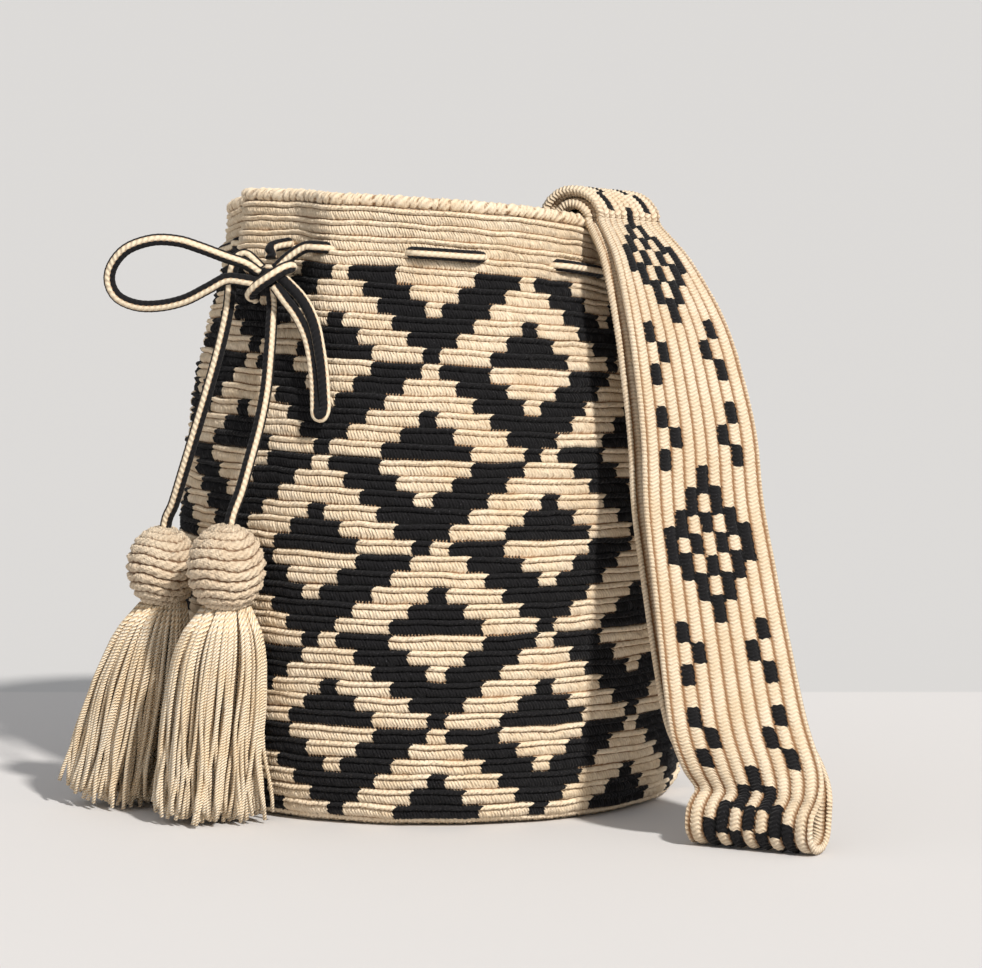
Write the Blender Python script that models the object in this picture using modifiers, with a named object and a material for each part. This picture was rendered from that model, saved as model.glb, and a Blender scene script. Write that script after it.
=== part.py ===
"""Wayuu mochila bag: a crocheted round bucket with a drawstring, two tassels and a shoulder strap.

Metres, +Z up. The origin is the middle of the base, on the floor, and the front of the bag faces -Y.
An angle round the bag is counted from the front, positive towards +X.
"""
import math

import bmesh
import bpy
import numpy as np
from mathutils import Matrix, Vector

OBJECT_NAME = "mochila_bag"

# ---- crocheted body ----------------------------------------------------------------------------
WALL = 0.0045            # thickness of the crochet
BODY_STEPS = 72          # flats round the wall
OUTER_SKIN = [           # radius and height down the outside, from the rim to the flat base
    (0.0955, 0.2755), (0.0953, 0.2640), (0.0967, 0.2520), (0.0995, 0.2360), (0.1051, 0.2110),
    (0.1125, 0.1700), (0.1165, 0.1300), (0.1172, 0.0950), (0.1155, 0.0550), (0.1128, 0.0250),
    (0.1102, 0.0100), (0.1070, 0.0030), (0.1020, 0.0000)]
RIM_TILT = 0.065         # the rim sinks this much per metre towards +X, and as much to the back
STRAP_ANGLE = 63.0       # the strap leaves the rim here, in degrees
DIPS = [                 # where the rim hangs lower: angle, width in degrees, depth in metres
    (STRAP_ANGLE, 28.0, 0.0040), (-94.0, 17.0, 0.0070)]
PLEATS = [               # soft pleats of the mouth, in the same way
    (-27.0, 7.0, 0.0040), (-43.0, 9.0, -0.0055), (-61.0, 7.0, 0.0020), (-75.0, 8.0, -0.0075),
    (36.0, 7.0, -0.0015), (150.0, 12.0, 0.0025), (192.0, 14.0, -0.0030), (63.0, 16.0, -0.0088)]

# ---- drawstring --------------------------------------------------------------------------------
CORD = 0.005             # diameter of the braided cord
CORD_SIDES = 2           # bevel resolution of every cord
EYELET_Z = 0.2515
EYELETS = 18
FIRST_EYELET = -27.0     # degrees
EYELET_SIZE = (0.0120, 0.0060)
CROSSING = 0.0050        # half the run along the wall in which the cord goes through it
KNOT_AT = (-0.0735, -0.0790, 0.2385)
KNOT_HALF = (0.0105, 0.0075, 0.0085)     # along the wall, through it, upwards
RUN_START = [(-0.0640, -0.0850, 0.2495), (-0.0571, -0.0862, 0.2538)]
RUN_END = [(-0.0722, -0.0745, 0.2530), (-0.0725, -0.0765, 0.2485)]
BOW_LOOP = [
    (-0.0830, -0.0868, 0.2465), (-0.0922, -0.0880, 0.2498), (-0.1032, -0.0880, 0.2539),
    (-0.1125, -0.0878, 0.2567), (-0.1236, -0.0870, 0.2571), (-0.1349, -0.0845, 0.2533),
    (-0.1416, -0.0815, 0.2462), (-0.1434, -0.0800, 0.2386), (-0.1399, -0.0805, 0.2317),
    (-0.1315, -0.0825, 0.2281), (-0.1212, -0.0845, 0.2280), (-0.1099, -0.0865, 0.2307),
    (-0.0996, -0.0880, 0.2359), (-0.0913, -0.0885, 0.2401), (-0.0830, -0.0890, 0.2394)]
SHORT_LOOP = [
    (-0.0625, -0.0908, 0.2362), (-0.0586, -0.0930, 0.2321), (-0.0551, -0.0958, 0.2267),
    (-0.0522, -0.0988, 0.2196), (-0.0503, -0.1017, 0.2106), (-0.0489, -0.1038, 0.2016),
    (-0.0481, -0.1056, 0.1925), (-0.0477, -0.1068, 0.1850), (-0.0492, -0.1082, 0.1812),
    (-0.0515, -0.1070, 0.1822), (-0.0519, -0.1042, 0.1875), (-0.0522, -0.1023, 0.1944),
    (-0.0532, -0.1005, 0.2034), (-0.0547, -0.0988, 0.2116), (-0.0572, -0.0970, 0.2188),
    (-0.0612, -0.0948, 0.2258), (-0.0657, -0.0920, 0.2313)]
LEFT_TAIL = [
    (-0.0800, -0.0775, 0.2475), (-0.0835, -0.0765, 0.2500), (-0.0868, -0.0760, 0.2490),
    (-0.0890, -0.0758, 0.2450), (-0.0901, -0.0760, 0.2388), (-0.0914, -0.0770, 0.2257),
    (-0.0954, -0.0780, 0.2080), (-0.1004, -0.0780, 0.1903), (-0.1059, -0.0760, 0.1724),
    (-0.1116, -0.0720, 0.1542), (-0.1165, -0.0665, 0.1388), (-0.1203, -0.0628, 0.1292)]
RIGHT_TAIL = [
    (-0.0715, -0.0830, 0.2288), (-0.0718, -0.0865, 0.2215), (-0.0725, -0.0905, 0.2090),
    (-0.0741, -0.0940, 0.1917), (-0.0771, -0.0965, 0.1765), (-0.0810, -0.0985, 0.1622),
    (-0.0850, -0.0995, 0.1482), (-0.0897, -0.1000, 0.1343)]

# ---- tassels: middle and half size of the ball, then the foot of the fringe ------------------------
TASSELS = {
    "left": {"ball": (-0.1219, -0.0620, 0.1095), "half": (0.0157, 0.0157, 0.0186),
             "foot": (-0.1405, -0.0460), "spread": (0.0285, 0.0200)},
    "right": {"ball": (-0.0917, -0.1000, 0.1136), "half": (0.0168, 0.0168, 0.0198),
              "foot": (-0.0990, -0.0925), "spread": (0.0255, 0.0170)}}
FRINGE_SHAPE = [(0.30, 1.0), (0.52, 0.93), (0.72, 0.70), (0.86, 0.40), (0.95, 0.15), (1.0, 0.0)]

# ---- shoulder strap --------------------------------------------------------------------------------
STRAP_WIDTH = 0.060
STRAP_T = 0.0045
STRAP_ACROSS = 4         # flats across the width
STRAP_STEP = 0.010       # spacing of the sections along the strap
ARC_R = 0.0830           # radius of the rim that both layers arch over
ARC_Z = 0.2611           # height of the middle of those arches
INNER_ARC = 0.0088
STRAP_LEAN = 0.085       # near the rim, the strap falls this much per metre of its width
OUTER_ARC = 0.0140
FRONT_LAYER = [          # x, y, z and the turn of the width in degrees, from the rim to the floor
    (0.0962, -0.0660, 0.2460, 55.0), (0.1060, -0.0850, 0.2200, 44.0),
    (0.1120, -0.0960, 0.1930, 37.0), (0.1155, -0.1040, 0.1700, 32.0),
    (0.1172, -0.1140, 0.1425, 29.0), (0.1210, -0.1240, 0.1155, 25.0),
    (0.1250, -0.1340, 0.0883, 20.0), (0.1308, -0.1480, 0.0524, 8.0),
    (0.1365, -0.1560, 0.0340, -10.0)]
LAYER_GAPS = [0.0060, 0.0075, 0.0088, 0.0095, 0.0095, 0.0095, 0.0095, 0.0095, 0.0092]
TOE_AT = (0.1390, -0.1630)
TOE_TURN = -30.0
TOE_R = 0.0085           # radius of the fold at the floor
ACROSS_MOUTH = [         # distance from the axis towards the strap, and height
    (0.0668, 0.2480), (0.0625, 0.2350), (0.0520, 0.2150), (0.0200, 0.1990),
    (-0.0220, 0.1990), (-0.0560, 0.2130), (-0.0750, 0.2350), (-0.0790, 0.2500), (-0.0795, 0.2640)]
SEAM_R = 0.0008          # radius of the sewing yarn


def smoothstep(t):
    """Ease from 0 to 1 as t goes from 0 to 1."""
    t = np.clip(t, 0.0, 1.0)
    return t * t * (3.0 - 2.0 * t)


def bump(angle, middle, width):
    """A bell round one angle of the bag, in degrees, 1 at its middle."""
    away = (angle - middle + 180.0) % 360.0 - 180.0
    return np.exp(-(away / width) ** 2)


def round_the_bag(angle, radius, height):
    """The point of an upright, unpleated bag at this angle, radius and height."""
    turn = math.radians(angle)
    return Vector((radius * math.sin(turn), -radius * math.cos(turn), height))


def settle(point):
    """Tilt the rim, let it dip and pleat the mouth, more the higher the point is."""
    x, y, z = point
    radius = math.hypot(x, y)
    if radius < 1e-6:
        return Vector(point)
    angle = math.degrees(math.atan2(x, -y))
    high = smoothstep((z - 0.05) / 0.20)
    pleat = sum(depth * bump(angle, middle, width) for middle, width, depth in PLEATS)
    radius += pleat * smoothstep((z - 0.19) / 0.06)
    dip = sum(depth * bump(angle, middle, width) for middle, width, depth in DIPS)
    dip *= smoothstep((z - 0.20) / 0.06)
    sink = high * RIM_TILT * (x + y + OUTER_SKIN[0][0])
    return round_the_bag(angle, radius, z - sink - dip)


def smooth_curve(points, step):
    """Points about one step apart on the Catmull-Rom curve through the given ones."""
    points = np.array(points, dtype=float)
    padded = np.vstack([2 * points[0] - points[1], points, 2 * points[-1] - points[-2]])
    found = []
    for before, start, end, after in zip(padded, padded[1:], padded[2:], padded[3:]):
        count = max(1, round(float(np.linalg.norm((end - start)[:3])) / step))
        for t in np.arange(count)[:, None] / count:
            found.append(0.5 * (2 * start + (end - before) * t
                                + (2 * before - 5 * start + 4 * end - after) * t ** 2
                                + (3 * start - before - 3 * end + after) * t ** 3))
    found.append(points[-1])
    return np.array(found)


# ---- Blender helpers ---------------------------------------------------------------------------------
def clear_scene():
    """Remove every object, so the script can be run again in the same file."""
    for item in list(bpy.data.objects):
        bpy.data.objects.remove(item, do_unlink=True)


def new_collection(name):
    found = bpy.data.collections.new(name)
    bpy.context.scene.collection.children.link(found)
    return found


def yarn(name, colour, roughness=0.9):
    """A matt cotton finish."""
    made = bpy.data.materials.new(name)
    made.use_nodes = True
    shader = made.node_tree.nodes["Principled BSDF"]
    shader.inputs["Base Color"].default_value = (*colour, 1.0)
    shader.inputs["Roughness"].default_value = roughness
    shader.inputs["Metallic"].default_value = 0.0
    return made


def add_object(name, data, finish=None, collection=None):
    made = bpy.data.objects.new(name, data)
    (collection or PARTS).objects.link(made)
    if finish:
        data.materials.append(finish)
    return made


def mesh_from(name, bm):
    mesh = bpy.data.meshes.new(name)
    bm.to_mesh(mesh)
    bm.free()
    return mesh


def turned_mesh(name, profile, steps):
    """Spin a profile, given from top to bottom at +X, about Z and return the finished mesh."""
    mesh = bpy.data.meshes.new(name)
    points = [(radius, 0.0, height) for radius, height in profile]
    mesh.from_pydata(points, [(i, i + 1) for i in range(len(points) - 1)], [])
    holder = add_object(name + "_profile", mesh)
    screw = holder.modifiers.new("turn", "SCREW")
    screw.steps = steps
    screw.render_steps = steps
    screw.use_merge_vertices = True
    screw.merge_threshold = 0.00001
    view = bpy.context.evaluated_depsgraph_get()
    turned = bpy.data.meshes.new_from_object(holder.evaluated_get(view))
    bpy.data.objects.remove(holder, do_unlink=True)
    turned.name = name
    return turned


def tube(name, points, radius, finish, sides=CORD_SIDES):
    """A cord: a poly spline through the points with a round bevel and filled ends."""
    curve = bpy.data.curves.new(name, "CURVE")
    curve.dimensions = "3D"
    curve.bevel_depth = radius
    curve.bevel_resolution = sides
    curve.use_fill_caps = True
    spline = curve.splines.new("POLY")
    spline.points.add(len(points) - 1)
    for spot, point in zip(spline.points, points):
        spot.co = (*point, 1.0)
    return add_object(name, curve, finish)


# ---- pieces --------------------------------------------------------------------------------------------
def eyelet_cutter(number):
    """A flat-sided block through the wall where the cord passes."""
    width, height = EYELET_SIZE
    angle = FIRST_EYELET + number * 360.0 / EYELETS
    bm = bmesh.new()
    bmesh.ops.create_cube(bm, size=1.0)
    bmesh.ops.scale(bm, verts=bm.verts, vec=(width, 0.020, height))
    cutter = add_object(f"eyelet_cutter_{number:02d}", mesh_from(f"eyelet_{number:02d}", bm),
                        collection=CUTTERS)
    cutter.location = settle(round_the_bag(angle, 0.0945, EYELET_Z))
    cutter.rotation_euler = (0.0, 0.0, math.radians(angle))
    cutter.hide_render = True
    cutter.display_type = "WIRE"
    return cutter


def make_body(finish):
    """One crocheted bucket: base, wall and rim, with the eyelets cut through."""
    profile = smooth_curve(OUTER_SKIN, 0.016).tolist() + [(0.045, 0.0), (0.0, 0.0)]
    mesh = turned_mesh("bag_body", profile, BODY_STEPS)
    for vertex in mesh.vertices:
        vertex.co = settle(vertex.co)
    body = add_object("bag_body", mesh, finish)
    shell = body.modifiers.new("crochet", "SOLIDIFY")
    shell.thickness = WALL
    shell.offset = -1.0
    shell.use_even_offset = True
    for number in range(EYELETS):
        cut = body.modifiers.new(f"eyelet_{number:02d}", "BOOLEAN")
        cut.operation = "DIFFERENCE"
        cut.solver = "EXACT"
        cut.object = eyelet_cutter(number)
    return body


def mouth_run_points():
    """The drawstring's way round the mouth: through the wall at each eyelet, in, out, in, out."""
    pitch = 360.0 / EYELETS
    swing = WALL / 2 + CORD / 2 + 0.0006
    middle_r = float(np.interp(EYELET_Z, [0.236, 0.252, 0.264], [0.0995, 0.0967, 0.0953])) - WALL / 2
    reach = math.degrees(CROSSING / middle_r)
    points = list(RUN_START)
    for number in range(EYELETS):
        side = 1.0 if number % 2 == 0 else -1.0      # +1 comes from outside, -1 from inside
        angle = FIRST_EYELET + number * pitch
        stations = [(angle - reach, side), (angle, 0.0), (angle + reach, -side)]
        if number < EYELETS - 1:
            stations.append((angle + pitch / 2, -side))
        points += [settle(round_the_bag(turn, middle_r + out * swing, EYELET_Z))
                   for turn, out in stations]
    return points + list(RUN_END)


def make_drawstring(finish):
    """The cord in its stretches: round the mouth, the knot, the two loops and the two tails."""
    radius = CORD / 2
    tube("drawstring_mouth_run", mouth_run_points(), radius, finish)
    for name, route in (("drawstring_bow_loop", BOW_LOOP), ("drawstring_short_loop", SHORT_LOOP),
                        ("drawstring_left_tail", LEFT_TAIL), ("drawstring_right_tail", RIGHT_TAIL)):
        tube(name, smooth_curve(route, 2.2 * CORD), radius, finish)
    knot = make_ellipsoid("drawstring_knot", KNOT_AT, KNOT_HALF, finish)
    knot.rotation_euler = (0.0, 0.0, math.atan2(KNOT_AT[0], -KNOT_AT[1]))


def make_ellipsoid(name, middle, half, finish):
    bm = bmesh.new()
    bmesh.ops.create_uvsphere(bm, u_segments=24, v_segments=16, radius=1.0)
    bmesh.ops.scale(bm, verts=bm.verts, vec=half)
    mesh = mesh_from(name, bm)
    mesh.shade_smooth()
    made = add_object(name, mesh, finish)
    made.location = middle
    return made


def make_tassel(side, ball_finish, fringe_finish):
    """A crocheted ball and, hanging under it down to the floor, a bell of cut yarn."""
    sizes = TASSELS[side]
    x, y, z = sizes["ball"]
    make_ellipsoid(f"{side}_tassel_ball", sizes["ball"], sizes["half"], ball_finish)
    top = z - sizes["half"][2] - 0.0003
    rings = [(share, height * top) for share, height in FRINGE_SHAPE]
    mesh = turned_mesh(f"{side}_tassel_fringe", [(0.0, top)] + rings + [(0.0, 0.0)], 32)
    mesh.transform(Matrix.Diagonal((*sizes["spread"], 1.0, 1.0)))
    foot_x, foot_y = sizes["foot"]
    lean = Matrix.Identity(4)                      # slides each level sideways, from foot to ball
    lean[0][2], lean[1][2] = (x - foot_x) / top, (y - foot_y) / top
    mesh.transform(Matrix.Translation((foot_x, foot_y, 0.0)) @ lean)
    add_object(f"{side}_tassel_fringe", mesh, fringe_finish)


def rim_plane(distance, height):
    """A point of the upright plane through the axis and the strap's place on the rim."""
    return (*round_the_bag(STRAP_ANGLE, distance, height), STRAP_ANGLE)


def arch(radius, start, end, count=8):
    """Half a turn over the rim, between two angles from the outside, as x, y, z and turn."""
    angles = np.linspace(math.radians(start), math.radians(end), count + 1)
    return [rim_plane(ARC_R + radius * math.cos(a), ARC_Z + radius * math.sin(a)) for a in angles]


def facing(turn):
    """The way a strap faces whose width is turned by this many degrees from +X."""
    return Vector((math.sin(math.radians(turn)), -math.cos(math.radians(turn)), 0.0))


def toe_fold():
    """The bend at the floor, from the back layer round under to the front layer."""
    out = facing(TOE_TURN)
    middle = Vector((*TOE_AT, 0.0))
    stations = [(-0.0092, 0.0240), (-0.0088, 0.0160), (-0.0075, 0.0078), (-0.0045, 0.0040),
                (0.0, 0.0028), (0.0050, 0.0040), (0.0080, 0.0075), (TOE_R, 0.0115),
                (0.0072, 0.0165), (0.0035, 0.0200), (-0.0002, 0.0240)]
    return [(*(middle + out * away + Vector((0.0, 0.0, height))), TOE_TURN)
            for away, height in stations]


def strap_stations():
    """Middle and turn of the strap from one sewn end to the other."""
    back = []
    for (x, y, z, turn), gap in zip(FRONT_LAYER, LAYER_GAPS):
        spot = Vector((x, y, z)) - facing(turn) * gap
        back.append((*spot, turn))
    start = [rim_plane(ARC_R - INNER_ARC, 0.2380), rim_plane(ARC_R - INNER_ARC, 0.2500)]
    rising = start + arch(INNER_ARC, 180.0, 0.0)
    falling = arch(OUTER_ARC, 0.0, 180.0)
    across = [rim_plane(distance, height) for distance, height in ACROSS_MOUTH]
    return rising + back + toe_fold() + FRONT_LAYER[::-1] + falling + across


def make_strap(finish):
    """A flat crocheted band: an open ribbon along its stations, made solid to its thickness."""
    line = smooth_curve(strap_stations(), STRAP_STEP)
    turn = np.radians(line[:, 3])
    lean = -STRAP_LEAN * smoothstep((line[:, 2] - 0.20) / 0.05)
    width_way = np.stack([np.cos(turn), np.sin(turn), lean], axis=1)
    across = np.linspace(-0.5, 0.5, STRAP_ACROSS + 1) * STRAP_WIDTH
    grid = line[:, None, :3] + width_way[:, None, :] * across[None, :, None]
    columns = STRAP_ACROSS + 1
    faces = [(i * columns + j, i * columns + j + 1, (i + 1) * columns + j + 1, (i + 1) * columns + j)
             for i in range(len(line) - 1) for j in range(STRAP_ACROSS)]
    mesh = bpy.data.meshes.new("shoulder_strap")
    mesh.from_pydata(grid.reshape(-1, 3).tolist(), [], faces)
    strap = add_object("shoulder_strap", mesh, finish)
    band = strap.modifiers.new("band", "SOLIDIFY")
    band.thickness = STRAP_T
    band.offset = 0.0
    band.use_even_offset = True
    return strap


def make_seam(name, distance, height, finish):
    """Sewing yarn in a row of slanting stitches on the inner face of a strap end."""
    stitches = 11
    points = []
    for number in range(stitches + 1):
        along = (number / stitches - 0.5) * (STRAP_WIDTH - 0.008)
        rise = 0.003 if number % 2 else -0.003
        spot = Vector(rim_plane(distance, height + rise)[:3])
        width_way = facing(STRAP_ANGLE + 90.0)
        points.append(spot + width_way * along)
    tube(name, points, SEAM_R, finish)


clear_scene()
PARTS = new_collection(OBJECT_NAME)
CUTTERS = new_collection(OBJECT_NAME + "_cutters")
cream = yarn("cream_crochet", (0.74, 0.58, 0.40))
cord_yarn = yarn("braided_cord", (0.42, 0.34, 0.26))
plied = yarn("plied_fringe", (0.83, 0.68, 0.48))
make_body(cream)
make_drawstring(cord_yarn)
for tassel_side in TASSELS:
    make_tassel(tassel_side, cream, plied)
make_strap(cream)
make_seam("strap_seam_right", ARC_R - INNER_ARC - STRAP_T / 2 - SEAM_R - 0.0004, 0.2430, plied)
make_seam("strap_seam_left", -(0.0793 - STRAP_T / 2 - SEAM_R - 0.0004), 0.2560, plied)
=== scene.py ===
# %% [markdown]
# # A Wayuu mochila bag
# The bag is a crocheted bucket with a stepped black and cream pattern, a braided drawstring
# with two tassels, and a woven shoulder strap. Every part of it is yarn, so the same question
# comes back in each cell: which bumps are big enough to be modelled, and which are left to the
# material. Here the rows, the stitches and the strands inside them are real surface, and the
# loose fibres of the yarn are painted. Shade in the hollows between strands is painted into the
# yarn's colour too, and pale flecks on the black yarn are a painted highlight.

# %% The imported model, which gives every position
import math

import bpy
import numpy as np
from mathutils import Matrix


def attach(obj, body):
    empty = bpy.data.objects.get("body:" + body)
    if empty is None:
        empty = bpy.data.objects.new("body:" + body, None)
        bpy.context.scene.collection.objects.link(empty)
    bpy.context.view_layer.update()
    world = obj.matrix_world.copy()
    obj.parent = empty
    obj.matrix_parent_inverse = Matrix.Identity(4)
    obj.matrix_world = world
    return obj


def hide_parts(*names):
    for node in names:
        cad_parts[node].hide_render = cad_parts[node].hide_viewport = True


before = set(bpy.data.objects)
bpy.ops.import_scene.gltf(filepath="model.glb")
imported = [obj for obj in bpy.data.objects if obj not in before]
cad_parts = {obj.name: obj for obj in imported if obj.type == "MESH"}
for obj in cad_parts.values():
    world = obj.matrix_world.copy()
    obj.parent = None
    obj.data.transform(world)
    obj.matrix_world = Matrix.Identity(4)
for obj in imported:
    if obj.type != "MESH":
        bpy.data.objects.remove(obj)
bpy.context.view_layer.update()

# %% [markdown]
# ## Curves and bells
# A soft thing is easiest to describe in two steps: first the tidy shape it would have if it were
# stiff, then one function that lets it sag. `settle` is that second step for the bag. It could
# be done by a simulation, but the sag here is a tilt, two dips and some pleats, so a few smooth
# bells say it exactly and give the same bag on every run.

# %% Smooth steps, bells and the sag of the mouth
MM = 0.001
STRAP_ANGLE = 63.0       # the strap leaves the rim here, in degrees from the front towards +X
RIM_TILT = 0.065         # the rim sinks this much per metre towards +X, and as much to the back
DIPS = [                 # where the rim hangs lower: angle, width in degrees, depth in metres
    (STRAP_ANGLE, 28.0, 0.0040), (-94.0, 17.0, 0.0070)]
PLEATS = [               # and where it is pushed out or in
    (-27.0, 7.0, 0.0040), (-43.0, 9.0, -0.0055), (-61.0, 7.0, 0.0020), (-75.0, 8.0, -0.0075),
    (36.0, 7.0, -0.0015), (150.0, 12.0, 0.0025), (192.0, 14.0, -0.0030), (63.0, 16.0, -0.0088)]
RIM_RADIUS = 0.0955


def smoothstep(t):
    """Three t squared less two t cubed, with t held between 0 and 1: a step with soft ends."""
    t = np.clip(t, 0.0, 1.0)
    return t * t * (3.0 - 2.0 * t)


def bell(angle, middle, width):
    """One over e to the square of the distance in widths, for an angle in degrees."""
    away = (angle - middle + 180.0) % 360.0 - 180.0
    return np.exp(-(away / width) ** 2)


def round_the_bag(angle, radius, height):
    """Polar to x, y, z: x is radius times sine, y is less radius times cosine of the angle."""
    turn = np.radians(angle)
    return np.stack(np.broadcast_arrays(radius * np.sin(turn), -radius * np.cos(turn), height),
                    axis=-1)


def settle(points):
    """The sag: the radius grows by the pleats, and the height sinks by the tilt and the dips.
    Both fade to nothing lower down the wall."""
    x, y, z = np.moveaxis(np.asarray(points, dtype=float), -1, 0)
    angle = np.degrees(np.arctan2(x, -y))
    pleat = sum(depth * bell(angle, middle, width) for middle, width, depth in PLEATS)
    radius = np.hypot(x, y) + pleat * smoothstep((z - 0.19) / 0.06)
    dip = sum(depth * bell(angle, middle, width) for middle, width, depth in DIPS)
    dip = dip * smoothstep((z - 0.20) / 0.06)
    sink = smoothstep((z - 0.05) / 0.20) * RIM_TILT * (x + y + RIM_RADIUS)
    return round_the_bag(angle, radius, z - sink - dip)


def smooth_curve(points, step):
    """Catmull-Rom: between two points runs a cubic that leaves each one parallel to the line
    between its neighbours. Points come about one step apart."""
    points = np.array(points, dtype=float)
    padded = np.vstack([2 * points[0] - points[1], points, 2 * points[-1] - points[-2]])
    found = []
    for before, start, end, after in zip(padded, padded[1:], padded[2:], padded[3:]):
        count = max(1, round(float(np.linalg.norm((end - start)[:3])) / step))
        t = np.arange(count)[:, None] / count
        found.append(0.5 * (2 * start + (end - before) * t
                            + (2 * before - 5 * start + 4 * end - after) * t ** 2
                            + (3 * start - before - 3 * end + after) * t ** 3))
    return np.vstack(found + [points[-1:]])


def lengths(points):
    """Distance along a path at each of its points: the running sum of its steps."""
    steps = np.linalg.norm(np.diff(points[:, :3], axis=0), axis=1)
    return np.concatenate([[0.0], np.cumsum(steps)])


def along(points, distances):
    """The path's values at given distances along it, joined by straight lines."""
    run = lengths(points)
    return np.stack([np.interp(distances, run, column) for column in points.T], axis=-1)


def unit(vectors):
    """Each vector divided by its length."""
    return vectors / np.maximum(np.linalg.norm(vectors, axis=-1, keepdims=True), 1e-12)


print("the front of the rim sinks", round(float(RIM_TILT * 0.05 * 1000), 1), "mm in 50 mm")

# %% [markdown]
# ## One way to make every surface
# Each piece is a sheet of points in rows and columns. The sheet is rolled up across its columns
# to make a tube, and up its rows too to make a ring. Blender takes the numbers fastest as flat
# arrays, so the faces are worked out by adding index arrays, never one face at a time.


# %% From a grid of points to a mesh object
def grid_faces(rows, columns, ring):
    """Corner numbers of the quads between neighbouring rows and columns, and where each corner
    sits in the sheet: down, right, up and back, so that the face looks outwards."""
    i, j = np.meshgrid(np.arange(rows if ring else rows - 1), np.arange(columns), indexing="ij")
    down = np.stack([i, i + 1, i + 1, i], axis=-1).reshape(-1, 4)
    right = np.stack([j, j, j + 1, j + 1], axis=-1).reshape(-1, 4)
    return (down % rows) * columns + right % columns, down, right


def surface(name, points, finish, ring=False, values=None, uv=None, twist=0.0):
    """A mesh from points[sheet, row, column]. Columns always close into a loop. The rows close
    too if ring is set, otherwise each end is closed by a fan round its own middle.
    values are numbers per point, uv is (round, along), one number more than the columns, and
    twist is how many turns the map makes from the first row to the last."""
    points = np.asarray(points, dtype=float)
    points = points[None] if points.ndim == 3 else points
    sheets, rows, columns, _ = points.shape
    quads, down, right = grid_faces(rows, columns, ring)
    step = (np.arange(sheets) * rows * columns)[:, None, None]
    corners = [(quads[None] + step).reshape(-1, 4)]
    spots = points.reshape(-1, 3)
    if not ring:
        first = np.arange(columns)
        second = (first + 1) % columns
        middle = len(spots) + 2 * np.arange(sheets)[:, None]
        start = step[:, :, 0]
        last = start + (rows - 1) * columns
        fan = [np.stack(np.broadcast_arrays(middle, start + first, start + second), axis=-1),
               np.stack(np.broadcast_arrays(middle + 1, last + second, last + first), axis=-1)]
        corners += [part.reshape(-1, 3) for part in fan]
        ends = np.stack([points[:, 0].mean(axis=1), points[:, -1].mean(axis=1)], axis=1)
        spots = np.vstack([spots, ends.reshape(-1, 3)])
    sizes = np.concatenate([np.full(len(part), part.shape[1]) for part in corners])
    flat = np.concatenate([part.ravel() for part in corners])
    mesh = bpy.data.meshes.new(name)
    mesh.vertices.add(len(spots))
    mesh.vertices.foreach_set("co", spots.ravel())
    mesh.loops.add(len(flat))
    mesh.loops.foreach_set("vertex_index", flat)
    mesh.polygons.add(len(sizes))
    mesh.polygons.foreach_set("loop_start", np.cumsum(sizes) - sizes)
    mesh.update(calc_edges=True)
    mesh.polygons.foreach_set("use_smooth", np.ones(len(sizes), dtype=bool))
    for key, numbers in (values or {}).items():
        numbers = np.broadcast_to(numbers, points.shape[:3]).reshape(-1)
        extra = np.full(len(spots) - len(numbers), numbers[-1])
        mesh.attributes.new(key, "FLOAT", "POINT").data.foreach_set(
            "value", np.concatenate([numbers, extra]))
    if uv is not None:
        turns, travel = uv
        pairs = np.stack([turns[right] - twist * down / (rows - 1), travel[down]], axis=-1)
        pairs = np.broadcast_to(pairs, (sheets, *pairs.shape)).reshape(-1, 2)
        caps = len(flat) - len(pairs)
        mesh.uv_layers.new(name="yarn").data.foreach_set(
            "uv", np.vstack([pairs, np.zeros((caps, 2))]).ravel())
    mesh.validate()
    made = bpy.data.objects.new(name, mesh)
    bpy.context.scene.collection.objects.link(made)
    mesh.materials.append(finish)
    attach(made, "root")
    print(name, "has", int((sizes - 2).sum()), "triangles")
    return made


def tube(name, path, radius, finish, sides=12, up=(0.0, -1.0, 0.0), **more):
    """Circles carried along paths[sheet, row]: middle, plus radius times the cosine of the turn
    towards `up` and the sine towards the third direction. radius may vary by row and side."""
    path = np.asarray(path, dtype=float)
    path = path[None] if path.ndim == 2 else path
    ahead = unit(np.gradient(path, axis=1))
    up = np.asarray(up, dtype=float)
    up = unit(up - (ahead * up).sum(axis=-1, keepdims=True) * ahead)
    side = np.cross(up, ahead)
    turn = np.arange(sides) / sides * 2 * np.pi
    ring = (np.cos(turn)[:, None] * up[:, :, None, :] + np.sin(turn)[:, None] * side[:, :, None, :])
    radius = np.broadcast_to(radius, ring.shape[:3])[..., None]
    return surface(name, path[:, :, None, :] + radius * ring, finish, **more)


# %% [markdown]
# ## Light, floor and camera
# One broad sun from the upper right gives the soft shadow on the left of the bag, and an even
# sky fills the rest, as a large studio window with white walls would. The floor is one plane.
# A real studio sweep would do as well, but a plane looks the same from every side.

# %% Camera and light
studio = bpy.context.scene
studio.view_settings.view_transform = "Standard"
sky = bpy.data.worlds.new("studio_sky")
sky.use_nodes = True
sky.node_tree.nodes["Background"].inputs["Color"].default_value = (0.97, 0.98, 1.0, 1.0)
sky.node_tree.nodes["Background"].inputs["Strength"].default_value = 0.50
studio.world = sky

camera = bpy.data.objects.new("camera", bpy.data.cameras.new("camera"))
studio.collection.objects.link(camera)
camera.location = (0.0246, -2.3, 0.38)
camera.rotation_euler = (math.radians(90.0 - 5.946), 0.0, 0.0)
camera.data.lens = 185.06
camera.data.sensor_width = 36.0
studio.camera = camera


def sun(name, strength, azimuth, elevation, softness, colour=(1.0, 1.0, 1.0)):
    """A sun seen from the bag at this azimuth, from the front towards +X, and this height."""
    light = bpy.data.lights.new(name, "SUN")
    light.energy, light.angle, light.color = strength, math.radians(softness), colour
    made = bpy.data.objects.new(name, light)
    made.rotation_euler = (math.radians(90.0 - elevation), 0.0, math.radians(azimuth))
    studio.collection.objects.link(made)
    return made


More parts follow.
